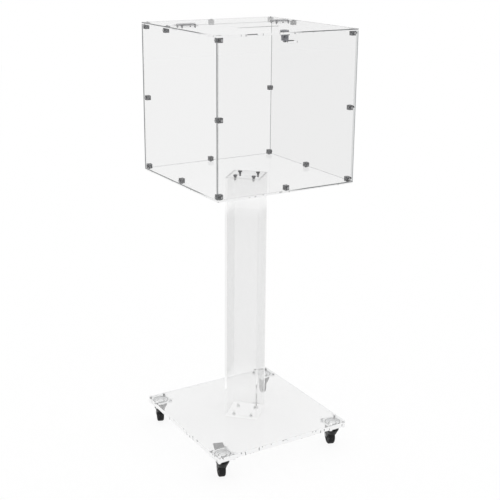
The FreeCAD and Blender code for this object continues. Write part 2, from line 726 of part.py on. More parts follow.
def caster_races():
    """Thrust races between each dish and its fork."""
    foot = "Sizes.caster_height - Sizes.dish_depth - Sizes.race_height"
    ring = cylinder("raceRing", "Sizes.race_outer", "Sizes.race_height", caster_x,
                    caster_y, foot)
    hole = cylinder("raceHole", "Sizes.race_inner", "3 * Sizes.race_height", caster_x,
                    caster_y, f"{foot} - Sizes.race_height")
    return four_corners("caster_races", cut("race", ring, hole))


def caster_kingpins():
    """Rivets that hold the forks: a wide head in the dish and a spread end under the hood."""
    body = body_named("kingpin")
    top = "(-Sizes.dish_depth + Sizes.dish_wall)"
    foot = f"({hood_top} - Sizes.hood_web - Sizes.play - Sizes.caster_height)"
    turned(body, "kingpinSection", [
        ("0", f"{top} + Sizes.kingpin_head_height"),
        ("0", f"{foot} - Sizes.kingpin_head_height"),
        ("Sizes.kingpin_foot_radius", f"{foot} - Sizes.kingpin_head_height"),
        ("Sizes.kingpin_foot_radius", foot),
        ("Sizes.kingpin_radius", foot),
        ("Sizes.kingpin_radius", top),
        ("Sizes.kingpin_head_radius", top),
        ("Sizes.kingpin_head_radius", f"{top} + Sizes.kingpin_head_height"),
    ])
    seat(body, caster_x, caster_y, base_under)
    return four_corners("caster_kingpins", body)


def caster_bolts():
    """Hexagon bolts down through the base plate and the caster plate, each with its nut run on."""
    x = f"{caster_x} + Sizes.bolt_offset"
    y = f"{caster_y} + Sizes.bolt_offset"
    plate_under = f"({base_under} - Sizes.plate_thick)"
    head = hexagon("boltHead", "Sizes.bolt_head_radius", "Sizes.bolt_head_height", x, y, base_top)
    nut = hexagon("boltNut", "Sizes.bolt_head_radius", "Sizes.bolt_head_height", x, y,
                  f"{plate_under} - Sizes.bolt_head_height")
    grip = "Sizes.base_thick + Sizes.plate_thick + Sizes.bolt_head_height + Sizes.bolt_tail"
    shank = cylinder("boltShank", "Sizes.bolt_radius", grip, x, y,
                     f"{plate_under} - Sizes.bolt_head_height - Sizes.bolt_tail")
    bolt = fuse("bolt", [head, nut, shank])
    row = both_sides("boltRow", bolt, "x", caster_x)
    four = both_sides("boltFour", row, "y", caster_y)
    return four_corners("caster_bolts", four)


# Casters, turning side. Each piece is drawn in the caster's own frame, with the swivel axis upright at
# the origin, the floor at zero height and the wheel trailing along +X, and then set at its corner.
def caster_seat(piece, across, along, rise="0", out="0", turn=None):
    """Set a piece at one corner: out along the trail, up by the rise, turned to the trail's direction."""
    swing = Rotation(up, size("trail_angle"))
    if turn is not None:
        swing = swing.multiply(turn)
    piece.Placement = Placement(Vector(), swing)
    heading = "(Sizes.trail_angle * 1 deg)"
    seat(piece, f"{across}{caster_x} + ({out}) * cos({heading})",
         f"{along}{caster_y} + ({out}) * sin({heading})", rise)


def fork(name, across, along, braked):
    """A hood on the kingpin, two cheeks leaning back to the axle, and the arch that the wheel runs in."""
    body = body_named(name)
    cone_top = f"({hood_top} - Sizes.hood_rim)"
    cone_foot = f"({cone_top} - Sizes.hood_cone)"
    turned(body, name + "Hood", [
        ("0", hood_top),
        ("Sizes.hood_radius - Sizes.edge_break", hood_top),
        ("Sizes.hood_radius", f"{hood_top} - Sizes.edge_break"),
        ("Sizes.hood_radius", cone_top),
        ("Sizes.fork_width / 2", cone_foot),
        ("0", cone_foot),
    ])
    axle_front = "Sizes.trail - Sizes.cheek_round"
    axle_rear = "Sizes.trail + Sizes.cheek_round"
    shoulder = f"({hood_top} - Sizes.fork_shoulder)"
    cheeks = Outline(body, name + "Cheeks", "XZ_Plane")
    cheeks.polygon([
        ("-Sizes.fork_nose", cone_top),
        (axle_front, "Sizes.cheek_foot"),
        (axle_rear, "Sizes.cheek_foot"),
        ("Sizes.brake_x + Sizes.brake_hub_radius", "Sizes.brake_z - 2 * Sizes.brake_hub_radius"),
        ("Sizes.brake_x + Sizes.brake_hub_radius", "Sizes.brake_z + Sizes.brake_hub_radius / 2"),
        ("Sizes.brake_x - Sizes.brake_hub_radius", shoulder),
        ("0", shoulder),
    ])
    pad(body, cheeks, "Sizes.fork_width", both=True)
    ends = Outline(body, name + "AxleEnds", "XZ_Plane")
    ends.circle("Sizes.cheek_round", "Sizes.trail", "Sizes.wheel_radius")
    pad(body, ends, "Sizes.fork_width", both=True)
    arch = Outline(body, name + "Arch", "XZ_Plane")
    arch.circle(arch_radius, "Sizes.trail", "Sizes.wheel_radius")
    pocket(body, arch, slot_between, both=True)
    kingpin_bore = Outline(body, name + "KingpinBore", "XY_Plane")
    kingpin_bore.circle("Sizes.kingpin_radius + Sizes.running_fit")
    pocket(body, kingpin_bore, "2 * Sizes.caster_height", down=False)
    foot_room = Outline(body, name + "FootRoom", "XY_Plane")
    foot_room.circle("Sizes.kingpin_foot_radius + Sizes.kingpin_room")
    pocket(body, foot_room, f"{hood_top} - Sizes.hood_web", down=False)
    axle_hole = Outline(body, name + "AxleHole", "XZ_Plane")
    axle_hole.circle("Sizes.axle_radius", "Sizes.trail", "Sizes.wheel_radius")
    pocket(body, axle_hole, "2 * Sizes.fork_width", both=True)
    if braked:
        room = Outline(body, name + "PedalRoom", "XZ_Plane")
        room.rectangle("Sizes.brake_x - Sizes.brake_hub_radius - Sizes.edge_break", "Sizes.brake_reach",
                       "Sizes.wheel_radius", "Sizes.caster_height")
        pocket(body, room, slot_between, both=True)
        pin_hole = Outline(body, name + "PinHole", "XZ_Plane")
        pin_hole.circle("Sizes.brake_pin_radius", "Sizes.brake_x", "Sizes.brake_z")
        pocket(body, pin_hole, "2 * Sizes.fork_width", both=True)
    caster_seat(body, across, along)
    return body


flat_to_upright = Rotation(Vector(1, 0, 0), -90)


def wheel_part(name, across, along, section):
    """A part turned about the axle from half of its section: radius, place along the axle."""
    body = body_named(name)
    turned(body, name + "Section", section)
    caster_seat(body, across, along, "Sizes.wheel_radius", "Sizes.trail", flat_to_upright)
    return body


def tyre(name, across, along):
    half = "Sizes.wheel_width / 2"
    shoulder = "Sizes.wheel_radius - Sizes.tread_round"
    return wheel_part(name, across, along, [
        ("Sizes.hub_radius", "-" + half),
        (shoulder, "-" + half),
        ("Sizes.wheel_radius", f"-{half} + Sizes.tread_round"),
        ("Sizes.wheel_radius", f"{half} - Sizes.tread_round"),
        (shoulder, half),
        ("Sizes.hub_radius", half),
    ])


def hub(name, across, along):
    half = "Sizes.wheel_width / 2"
    dished = f"({half} - Sizes.hub_recess)"
    bore = "Sizes.axle_radius + Sizes.running_fit"
    return wheel_part(name, across, along, [
        (bore, "-" + half),
        ("Sizes.hub_boss", "-" + half),
        ("Sizes.hub_boss + Sizes.hub_recess", "-" + dished),
        ("Sizes.hub_radius", f"-{half} + Sizes.edge_break"),
        ("Sizes.hub_radius", f"{half} - Sizes.edge_break"),
        ("Sizes.hub_boss + Sizes.hub_recess", dished),
        ("Sizes.hub_boss", half),
        (bore, half),
    ])


def axle(name, across, along):
    """A rivet through both cheeks."""
    over = "(Sizes.fork_width / 2 + Sizes.axle_head_height)"
    cheek = "(Sizes.fork_width / 2)"
    return wheel_part(name, across, along, [
        ("0", "-" + over),
        ("Sizes.axle_head_radius", "-" + over),
        ("Sizes.axle_head_radius", "-" + cheek),
        ("Sizes.axle_radius", "-" + cheek),
        ("Sizes.axle_radius", cheek),
        ("Sizes.axle_head_radius", cheek),
        ("Sizes.axle_head_radius", over),
        ("0", over),
    ])


def brake_pin(name, across, along):
    length = "(Sizes.fork_width + 2 * Sizes.brake_pin_proud)"
    pin = doc.addObject("Part::Cylinder", name)
    bind(pin, Radius="Sizes.brake_pin_radius", Height=length)
    caster_seat(pin, across, along, "Sizes.brake_z", "Sizes.brake_x", flat_to_upright)
    heading = "(Sizes.trail_angle * 1 deg)"
    pin.setExpression(".Placement.Base.x", f"{across}{caster_x} + Sizes.brake_x * cos({heading})"
                                           f" + {length} / 2 * sin({heading})")
    pin.setExpression(".Placement.Base.y", f"{along}{caster_y} + Sizes.brake_x * sin({heading})"
                                           f" - {length} / 2 * cos({heading})")
    return pin


def brake_pedal(name, across, along):
    """A rocker on its pin: a pad to tread on behind the wheel and a shoe over the tyre."""
    body = body_named(name)
    pivot_x = "Sizes.brake_x"
    pivot_z = "Sizes.brake_z"
    arm_end = f"({pivot_x} + Sizes.brake_arm)"
    arm_top = f"({pivot_z} + Sizes.brake_arm_rise)"
    arm = Outline(body, name + "Arm", "XZ_Plane")
    arm.polygon([
        (pivot_x, f"{pivot_z} + Sizes.brake_hub_radius"),
        (arm_end, arm_top),
        (arm_end, f"{arm_top} - Sizes.pedal_thick"),
        (f"{pivot_x} + Sizes.neck_rear", f"{pivot_z} - Sizes.neck_drop"),
        (f"{pivot_x} + Sizes.shoe_rear", f"{pivot_z} - Sizes.shoe_drop"),
        (f"{pivot_x} - Sizes.shoe_front", f"{pivot_z} - Sizes.shoe_front_drop"),
    ])
    pad(body, arm, "Sizes.wheel_width", both=True)
    hub_disc = Outline(body, name + "Hub", "XZ_Plane")
    hub_disc.circle("Sizes.brake_hub_radius", pivot_x, pivot_z)
    pad(body, hub_disc, "Sizes.wheel_width", both=True)
    pad_foot = f"({arm_end} - Sizes.pad_lap)"
    pad_top = f"({pivot_z} + Sizes.pad_rise)"
    tread = Outline(body, name + "Pad", "XZ_Plane")
    tread.polygon([
        (pad_foot, f"{pad_top} - Sizes.pad_slope"),
        ("Sizes.brake_reach", pad_top),
        ("Sizes.brake_reach", f"{pad_top} - Sizes.pedal_thick"),
        (pad_foot, f"{pad_top} - Sizes.pad_slope - Sizes.pedal_thick"),
    ])
    pad(body, tread, "Sizes.pedal_width", both=True)
    bore = Outline(body, name + "Bore", "XZ_Plane")
    bore.circle("Sizes.brake_pin_radius + Sizes.running_fit", pivot_x, pivot_z)
    pocket(body, bore, "2 * Sizes.fork_width", both=True)
    caster_seat(body, across, along)
    return body


nodes += [
    base_plate(),
    column_tube(),
    end_block("column_foot_block", base_top),
    end_block("column_top_block", f"{floor_under} - Sizes.block_thick"),
    column_screws("column_foot_screws", f"{base_under} - Sizes.column_head_height", base_under),
    column_screws("column_top_screws", floor_top, f"{floor_top} - Sizes.column_screw_length"),
    box_floor(),
    front_wall(),
    wall("rear_wall", "XZ_Plane", half_box, "0", wall_middle),
    wall("left_wall", "YZ_Plane", wall_inside, "-" + wall_middle, "0"),
    wall("right_wall", "YZ_Plane", wall_inside, wall_middle, "0"),
    rear_strip(),
    bottom_cubes(),
    middle_cubes(),
    top_cubes(),
    strip_cubes(),
    fixed_leaves(),
    hinge_pins(),
    hinge_screws("hinge_fixed_screws", f"{hinge_line} + Sizes.hinge_screw_y"),
    hinge_nuts("hinge_fixed_nuts", f"{hinge_line} + Sizes.hinge_screw_y"),
    lid_flap(),
    moving_leaves(),
    hinge_screws("hinge_moving_screws", f"{hinge_line} - Sizes.hinge_screw_y"),
    hinge_nuts("hinge_moving_nuts", f"{hinge_line} - Sizes.hinge_screw_y"),
    lock_housing(),
    lock_nut(),
    lock_plug(),
    lock_cam(),
    cam_screw(),
    caster_plates(),
    caster_races(),
    caster_kingpins(),
    caster_bolts(),
]

# The four casters: name, side, end, whether it has a brake
corners = [
    ("front_left", "-", "-", True),
    ("front_right", "", "-", False),
    ("rear_left", "-", "", False),
    ("rear_right", "", "", True),
]
for name, across, along, braked in corners:
    nodes.append(fork(name + "_fork", across, along, braked))
    nodes.append(axle(name + "_axle", across, along))
    nodes.append(hub(name + "_hub", across, along))
    nodes.append(tyre(name + "_tyre", across, along))
    if braked:
        nodes.append(brake_pedal(name + "_brake_pedal", across, along))
        nodes.append(brake_pin(name + "_brake_pin", across, along))

doc.recompute()
for thing in doc.Objects:
    if "Invalid" in thing.State or "Error" in thing.State:
        raise RuntimeError(f"{thing.Name} failed: {thing.State}")
for node in nodes:
    if node.Shape.isNull() or not node.Shape.isValid():
        raise RuntimeError(f"{node.Label} has no valid shape")

os.makedirs("parts", exist_ok=True)
for node in nodes:
    node.Shape.exportStep(f"parts/{node.Label}.step")
    print(node.Label, len(node.Shape.Solids), "solids", round(node.Shape.Volume / 1000, 3), "cm3")
print(len(nodes), "sub-parts written")
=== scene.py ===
import json
import math
import bmesh
import bpy
import numpy as np
from mathutils import Matrix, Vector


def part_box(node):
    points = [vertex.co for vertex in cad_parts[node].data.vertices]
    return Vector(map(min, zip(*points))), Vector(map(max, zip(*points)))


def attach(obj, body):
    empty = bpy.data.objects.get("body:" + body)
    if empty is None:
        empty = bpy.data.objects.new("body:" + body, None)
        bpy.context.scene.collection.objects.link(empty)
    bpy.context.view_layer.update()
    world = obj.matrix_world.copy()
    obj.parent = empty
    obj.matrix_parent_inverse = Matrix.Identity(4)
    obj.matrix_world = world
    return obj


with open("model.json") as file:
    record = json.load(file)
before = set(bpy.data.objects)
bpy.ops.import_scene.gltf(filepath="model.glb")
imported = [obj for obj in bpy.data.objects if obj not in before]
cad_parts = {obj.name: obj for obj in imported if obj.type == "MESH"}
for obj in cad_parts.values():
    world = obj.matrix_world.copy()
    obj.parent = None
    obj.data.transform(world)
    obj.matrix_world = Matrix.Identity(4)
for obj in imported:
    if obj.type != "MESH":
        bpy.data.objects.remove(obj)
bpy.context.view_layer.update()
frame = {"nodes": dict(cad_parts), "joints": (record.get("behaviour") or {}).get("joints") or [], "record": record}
nodes = frame["nodes"]
subparts = frame["record"]["subparts"]
print("frame loaded:", len(nodes), "nodes")


# sRGB hex to the linear colour that a socket takes
def toLinear(hexText):
    raw = np.array([int(hexText[i:i + 2], 16) for i in (1, 3, 5)]) / 255
    linear = np.where(raw <= 0.04045, raw / 12.92, ((raw + 0.055) / 1.055) ** 2.4)
    return (*linear.tolist(), 1.0)


# One shader node of a kind with its settings and its inputs, by name or by number as in _0; a value that is a
# socket is linked
def addNode(tree, kind, settings=None, **inputs):
    node = tree.nodes.new("ShaderNode" + kind)
    for name, value in (settings or {}).items():
        setattr(node, name, value)
    for name, value in inputs.items():
        socket = node.inputs[int(name[1:])] if name[0] == "_" else node.inputs[name.replace("_", " ")]
        if isinstance(value, bpy.types.NodeSocket):
            tree.links.new(value, socket)
        else:
            socket.default_value = value
    return node


def newMaterial(name):
    material = bpy.data.materials.new(name)
    material.use_nodes = True
    tree = material.node_tree
    tree.nodes.clear()
    return material, tree, addNode(tree, "OutputMaterial")


# Colour that goes from the first to the second with a share, or the first alone where there is no share
def blendTone(tree, share, first, second):
    if share is None:
        return toLinear(first)
    return addNode(tree, "Mix", {"data_type": "RGBA"}, _0=share, _6=toLinear(first),
                   _7=toLinear(second)).outputs[2]


castAcrylic = {
    "ior": 1.49,                # cast PMMA
    "smear": (0.0, 0.03),       # roughness between wiped and handled places
    "smearSize": 0.06,          # metres across one smear
    "smearSpan": (0.45, 0.75),  # noise over which a smear sets in
    "trapped": 0.98,            # Fresnel share above which light can't leave a face
    "square": 0.7,              # share of a face's normal from which it counts as square to an axis
    "edgeShadeTone": "#5f6163",      # painted shade on a cut edge, for the dark it shows of the sheet's inside
    "edgeRough": 0.25,
    "fade": 0.05,               # metres over which an edge's painted shade fades in
    "tick": 0.006,              # metres between the small dark ticks along the cut edges
    "tickSpan": (0.66, 0.72),   # noise over which a tick sets in
    "tickUpright": 0.4,         # how little the ticks change with height
    "shade": "#f4f5f5",         # light let through on its way to a lamp
    "gap": 0.00006,             # metres that two touching sheets stand apart, as any dry joint does
    "sameCorner": 0.00001,      # metres within which the corners of loose triangles are one
    "flatAngle": 30,            # degrees past which two faces meet sharply
}

# What any sheet has; the sheets below name their node and give only what differs
anySheet = {
    "axis": 2,                  # axis square to the polished faces, None for the tube
    "tint": "#ffffff",          # what each polished face lets through
    "density": 0.5,             # absorption of a metre
    "mirror": 2.0,              # power of the Fresnel share: 1 is bare glass, more is a fainter mirror
    "haze": 0.0,                # share of white dust on the faces
    "underHaze": 0.0,           # the same on the lower face, seen from inside
    "dark": None,               # share of painted shade on cut edges that face X, Y and Z
    "start": None,              # metres from the near corner past which these edges take the painted shade
    "share": 1.0,               # share of the thickness, from the top, that takes the painted shade
    "ticks": 0.0,               # strength of the small dark ticks along the cut edges
    "edge": "#efefef",          # light edge from outside
    "inside": "#ffffff",        # what a light edge lets out from inside
    "insideShadeTone": "#ffffff",    # and one in painted shade
    "released": "#f8f8f8",      # light let out by a face that would trap it
}
# The walls of the box. The ends of the side walls butt against the other two and stay clear.
wallSheet = {**anySheet, "tint": "#fdfdfd", "start": (0.1, 0.0, 0.0), "inside": "#f0f1f1",
             "insideShadeTone": "#a2a4a5"}
sideWall = {**wallSheet, "axis": 0, "dark": (0.0, 0.1, 0.1), "clearEnds": (0, 1, 0)}
crossWall = {**wallSheet, "axis": 1, "dark": (1.0, 0.0, 0.1)}
# The sheets that lie flat at the top and the bottom of the box
flatSheet = {**anySheet, "haze": 0.02, "dark": (1.0, 1.0, 0.0), "start": (0.05, 0.19, 0.0), "share": 0.45,
             "ticks": 0.5, "inside": "#e6e7e7", "insideShadeTone": "#77787a"}
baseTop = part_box("base_plate")[1]
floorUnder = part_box("box_floor")[0][2]
acrylicSheets = {
    # All four walls are the same sheet; their absorptions differ only to make some faces lighter and others
    # darker, painted light and shade
    "left": {**sideWall, "node": "left_wall", "density": 3.0},
    "right": {**sideWall, "node": "right_wall", "density": 9.0},
    "front": {**crossWall, "node": "front_wall", "density": 7.5},
    "rear": {**crossWall, "node": "rear_wall", "density": 5.5},
    "floor": {**flatSheet, "node": "box_floor", "mirror": 1.9},
    "strip": {**flatSheet, "node": "rear_strip", "mirror": 3.3, "haze": 0.2},
    # dash: a dash of painted shade on the front edge, its middle and half of its length along X
    "lid": {**flatSheet, "node": "lid_flap", "mirror": 3.3, "dash": (-0.107, 0.014)},
    # covered: no dust this near to the middle, along X plus along Y, because the column stands there;
    # drilled: cut faces within these distances of the middle along X and Y are holes, and stay clear
    "base": {**anySheet, "node": "base_plate", "density": 3.0, "mirror": 1.3, "haze": 0.23,
             "underHaze": 0.2, "covered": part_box("column_tube")[1][0],
             "drilled": (baseTop[0] - 0.008, baseTop[1] - 0.0095),
             "dark": (0.04, 0.04, 0.0), "ticks": 0.8, "edge": "#fbfbfb", "inside": "#f4f5f5",
             "insideShadeTone": "#c0c1c2"},
    # litFoot, litTop: heights between which the ends turn bright, lit by the base and by the box;
    # litMirror: the mirror's power there
    "column": {**anySheet, "node": "column_tube", "axis": None, "tint": "#fbfbfb", "density": 0.2,
               "mirror": 1.1, "haze": 0.18, "released": "#f6f6f6",
               "litFoot": (baseTop[2] + 0.083, baseTop[2] + 0.128),
               "litTop": (floorUnder - 0.103, floorUnder - 0.073), "litMirror": 3.0},
}
nearCorner = [*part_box("box_floor")[0][:2], 0.0]
frontMiddle = [0.0, nearCorner[1], 0.0]
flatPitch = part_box("lid_flap")[0][2] - floorUnder       # from the underside of the floor to that of the lid
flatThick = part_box("rear_strip")[1][2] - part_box("rear_strip")[0][2]


# Painted shade of a cut edge at each place, or None where it is light all over: its share by the way it faces,
# past its start and over its share of the thickness, a dash if it has one, and the ticks in between
def paintedEdgeShade(tree, place, facing, sheet):
    if not sheet["dark"]:
        return None
    spot = place.outputs["Object"]
    along = addNode(tree, "SeparateXYZ", Vector=spot)
    own = addNode(tree, "VectorMath", {"operation": "DOT_PRODUCT"}, _0=facing, _1=sheet["dark"])
    dark = own.outputs["Value"]
    if sheet["start"]:
        start = addNode(tree, "VectorMath", {"operation": "DOT_PRODUCT"}, _0=facing, _1=sheet["start"])
        flat = addNode(tree, "VectorMath", {"operation": "MULTIPLY"}, _0=spot, _1=(1, 1, 0))
        away = addNode(tree, "VectorMath", {"operation": "DISTANCE"}, _0=flat.outputs[0],
                       _1=frontMiddle if sheet["axis"] == 1 else nearCorner)
        past = addNode(tree, "Math", {"operation": "SUBTRACT"}, _0=away.outputs["Value"],
                       _1=start.outputs["Value"])
        run = addNode(tree, "MapRange", Value=past.outputs[0], From_Max=castAcrylic["fade"])
        dark = addNode(tree, "Math", {"operation": "MULTIPLY"}, _0=dark, _1=run.outputs[0]).outputs[0]
    if "dash" in sheet:
        middle, half = sheet["dash"]
        aside = addNode(tree, "Math", {"operation": "SUBTRACT"}, _0=along.outputs[0], _1=middle)
        off = addNode(tree, "Math", {"operation": "ABSOLUTE"}, _0=aside.outputs[0])
        dash = addNode(tree, "Math", {"operation": "LESS_THAN"}, _0=off.outputs[0], _1=half)
        dark = addNode(tree, "Math", {"operation": "MAXIMUM"}, _0=dark, _1=dash.outputs[0]).outputs[0]
    if sheet["share"] < 1:
        above = addNode(tree, "Math", {"operation": "SUBTRACT"}, _0=along.outputs[2], _1=floorUnder)
        within = addNode(tree, "Math", {"operation": "MODULO"}, _0=above.outputs[0], _1=flatPitch)
        upper = addNode(tree, "Math", {"operation": "GREATER_THAN"}, _0=within.outputs[0],
                        _1=flatThick * (1 - sheet["share"]))
        dark = addNode(tree, "Math", {"operation": "MULTIPLY"}, _0=dark, _1=upper.outputs[0]).outputs[0]
    if sheet["ticks"]:
        upright = addNode(tree, "VectorMath", {"operation": "MULTIPLY"}, _0=spot,
                          _1=(1, 1, castAcrylic["tickUpright"]))
        tickNoise = addNode(tree, "TexNoise", Vector=upright.outputs[0], Scale=1 / castAcrylic["tick"],
                      Detail=0.0)
        low, high = castAcrylic["tickSpan"]
        tick = addNode(tree, "MapRange", Value=tickNoise.outputs["Fac"], From_Min=low, From_Max=high,
                       To_Max=sheet["ticks"])
        dark = addNode(tree, "Math", {"operation": "MAXIMUM"}, _0=dark, _1=tick.outputs[0]).outputs[0]
    return dark


# 1 near the two lit ends of an upright sheet, and None for a sheet without them
def litEnds(tree, place, sheet):
    if "litFoot" not in sheet:
        return None
    along = addNode(tree, "SeparateXYZ", Vector=place.outputs["Object"])
    ends = []
    for (low, high), below, above in ((sheet["litFoot"], 1.0, 0.0), (sheet["litTop"], 0.0, 1.0)):
        ends.append(addNode(tree, "MapRange", Value=along.outputs[2], From_Min=low, From_Max=high,
                            To_Min=below, To_Max=above).outputs[0])
    return addNode(tree, "Math", {"operation": "MAXIMUM"}, _0=ends[0], _1=ends[1]).outputs[0]


# Mirror over a shader: the mirrored share is the Fresnel share raised to a power. Light that would be wholly
# mirrored inside the sheet is let out here, because it leaves bright at a far edge.
def mirrorOver(tree, below, rough, lit, sheet):
    mirror = addNode(tree, "BsdfGlossy", Roughness=rough)
    share = addNode(tree, "Fresnel", IOR=castAcrylic["ior"])
    power = sheet["mirror"]
    if lit is not None:
        power = addNode(tree, "MapRange", Value=lit, To_Min=power, To_Max=sheet["litMirror"]).outputs[0]
    faint = addNode(tree, "Math", {"operation": "POWER"}, _0=share.outputs[0], _1=power)
    face = addNode(tree, "MixShader", _0=faint.outputs[0], _1=below, _2=mirror.outputs[0])
    trapped = addNode(tree, "Math", {"operation": "GREATER_THAN"}, _0=share.outputs[0],
                      _1=castAcrylic["trapped"])
    released = addNode(tree, "BsdfTransparent",
                       Color=blendTone(tree, lit, sheet["released"], "#ffffff"))
    return addNode(tree, "MixShader", _0=trapped.outputs[0], _1=face.outputs[0],
                   _2=released.outputs[0]).outputs[0]


# Light on its way to a lamp passes straight through the sheet
def lampsPass(tree, shader):
    lamps = addNode(tree, "BsdfTransparent", Color=toLinear(castAcrylic["shade"]))
    ray = addNode(tree, "LightPath")
    return addNode(tree, "MixShader", _0=ray.outputs["Is Shadow Ray"], _1=shader,
                   _2=lamps.outputs[0]).outputs[0]


# Film of white dust over a shader. It lies on the faces from outside, and a thinner one shows on the lower
# face from inside. The faces that look down from outside have none.
def dustOver(tree, below, place, fromInside, sheet):
    if not sheet["haze"]:
        return below
    slope = addNode(tree, "SeparateXYZ", Vector=place.outputs["Normal"])
    notUnder = addNode(tree, "Math", {"operation": "GREATER_THAN"}, _0=slope.outputs[2],
                       _1=-castAcrylic["square"])
    film = addNode(tree, "MapRange", Value=fromInside, To_Min=sheet["haze"], To_Max=sheet["underHaze"])
    share = addNode(tree, "Math", {"operation": "MULTIPLY"}, _0=notUnder.outputs[0], _1=film.outputs[0])
    if "covered" in sheet:
        away = addNode(tree, "VectorMath", {"operation": "ABSOLUTE"}, _0=place.outputs["Object"])
        reach = addNode(tree, "VectorMath", {"operation": "DOT_PRODUCT"}, _0=away.outputs[0],
                        _1=(1, 1, 0))
        bare = addNode(tree, "Math", {"operation": "GREATER_THAN"}, _0=reach.outputs["Value"],
                       _1=sheet["covered"])
        share = addNode(tree, "Math", {"operation": "MULTIPLY"}, _0=share.outputs[0],
                        _1=bare.outputs[0])
    dust = addNode(tree, "BsdfDiffuse", Color=toLinear("#ffffff"))
    return addNode(tree, "MixShader", _0=share.outputs[0], _1=below, _2=dust.outputs[0]).outputs[0]


# Cut face: satin from outside, grey where painted shade lies on it, and from inside it lets the sheet's gathered
# light out. Ends that butt against the next sheet and drilled holes are clear from both sides.
def cutFace(tree, place, facing, fromInside, sheet):
    # painted shade of the edge: it darkens the colour outside and what the edge lets out inside
    cutShade = paintedEdgeShade(tree, place, facing, sheet)
    outside = addNode(tree, "BsdfPrincipled", IOR=castAcrylic["ior"], Roughness=castAcrylic["edgeRough"],
                      Base_Color=blendTone(tree, cutShade, sheet["edge"], castAcrylic["edgeShadeTone"]))
    inside = addNode(tree, "BsdfTransparent",
                     Color=blendTone(tree, cutShade, sheet["inside"], sheet["insideShadeTone"]))
    clear = fromInside
    if "clearEnds" in sheet:
        end = addNode(tree, "VectorMath", {"operation": "DOT_PRODUCT"}, _0=facing, _1=sheet["clearEnds"])
        clear = addNode(tree, "Math", {"operation": "MAXIMUM"}, _0=clear,
                        _1=end.outputs["Value"]).outputs[0]
    if "drilled" in sheet:
        away = addNode(tree, "VectorMath", {"operation": "ABSOLUTE"}, _0=place.outputs["Object"])
        plan = addNode(tree, "SeparateXYZ", Vector=away.outputs[0])
        within = [addNode(tree, "Math", {"operation": "LESS_THAN"}, _0=plan.outputs[axis],
                          _1=sheet["drilled"][axis]).outputs[0] for axis in (0, 1)]
        hole = addNode(tree, "Math", {"operation": "MULTIPLY"}, _0=within[0], _1=within[1])
        clear = addNode(tree, "Math", {"operation": "MAXIMUM"}, _0=clear, _1=hole.outputs[0]).outputs[0]
    return addNode(tree, "MixShader", _0=clear, _1=outside.outputs[0], _2=inside.outputs[0]).outputs[0]


# Cast acrylic sheet: clear and bending light across its polished faces, grey to white where it was cut, the grey
# being painted shade
def castAcrylicSheet(name, sheet):
    material, tree, output = newMaterial("cast_acrylic_" + name)
    place = addNode(tree, "TexCoord")
    fromInside = addNode(tree, "NewGeometry").outputs["Backfacing"]
    smear = addNode(tree, "TexNoise", Vector=place.outputs["Object"], Detail=3.0,
                    Scale=1 / castAcrylic["smearSize"])
    (low, high), (wiped, handled) = castAcrylic["smearSpan"], castAcrylic["smear"]
    rough = addNode(tree, "MapRange", Value=smear.outputs["Fac"], From_Min=low, From_Max=high,
                    To_Min=wiped, To_Max=handled).outputs[0]
    lit = litEnds(tree, place, sheet)
    bent = addNode(tree, "BsdfRefraction", Color=blendTone(tree, lit, sheet["tint"], "#ffffff"),
                   IOR=castAcrylic["ior"], Roughness=rough)
    dusty = dustOver(tree, bent.outputs[0], place, fromInside, sheet)
    polished = mirrorOver(tree, dusty, rough, lit, sheet)
    facing = addNode(tree, "VectorMath", {"operation": "ABSOLUTE"}, _0=place.outputs["Normal"])
    cut = cutFace(tree, place, facing.outputs[0], fromInside, sheet)
    axes = addNode(tree, "SeparateXYZ", Vector=facing.outputs[0])
    isTube = sheet["axis"] is None
    isCut = addNode(tree, "Math", {"operation": "GREATER_THAN" if isTube else "LESS_THAN"},
                    _0=axes.outputs[2 if isTube else sheet["axis"]], _1=castAcrylic["square"])
    face = addNode(tree, "MixShader", _0=isCut.outputs[0], _1=polished, _2=cut)
    volume = addNode(tree, "VolumeAbsorption", Color=toLinear("#000000"), Density=sheet["density"])
    tree.links.new(lampsPass(tree, face.outputs[0]), output.inputs["Surface"])
    tree.links.new(volume.outputs[0], output.inputs["Volume"])
    return material


# Acrylic block bonded in the column: its joints pass light unbent, so only a faint mirror shows where it is
bondedBlock = {"mirror": 0.04, "rough": 0.1}


def bondedAcrylic():
    material, tree, output = newMaterial("cast_acrylic_block")
    clear = addNode(tree, "BsdfTransparent")
    mirror = addNode(tree, "BsdfGlossy", Roughness=bondedBlock["rough"])
    face = addNode(tree, "MixShader", _0=bondedBlock["mirror"], _1=clear.outputs[0],
                   _2=mirror.outputs[0])
    tree.links.new(lampsPass(tree, face.outputs[0]), output.inputs["Surface"])
    return material
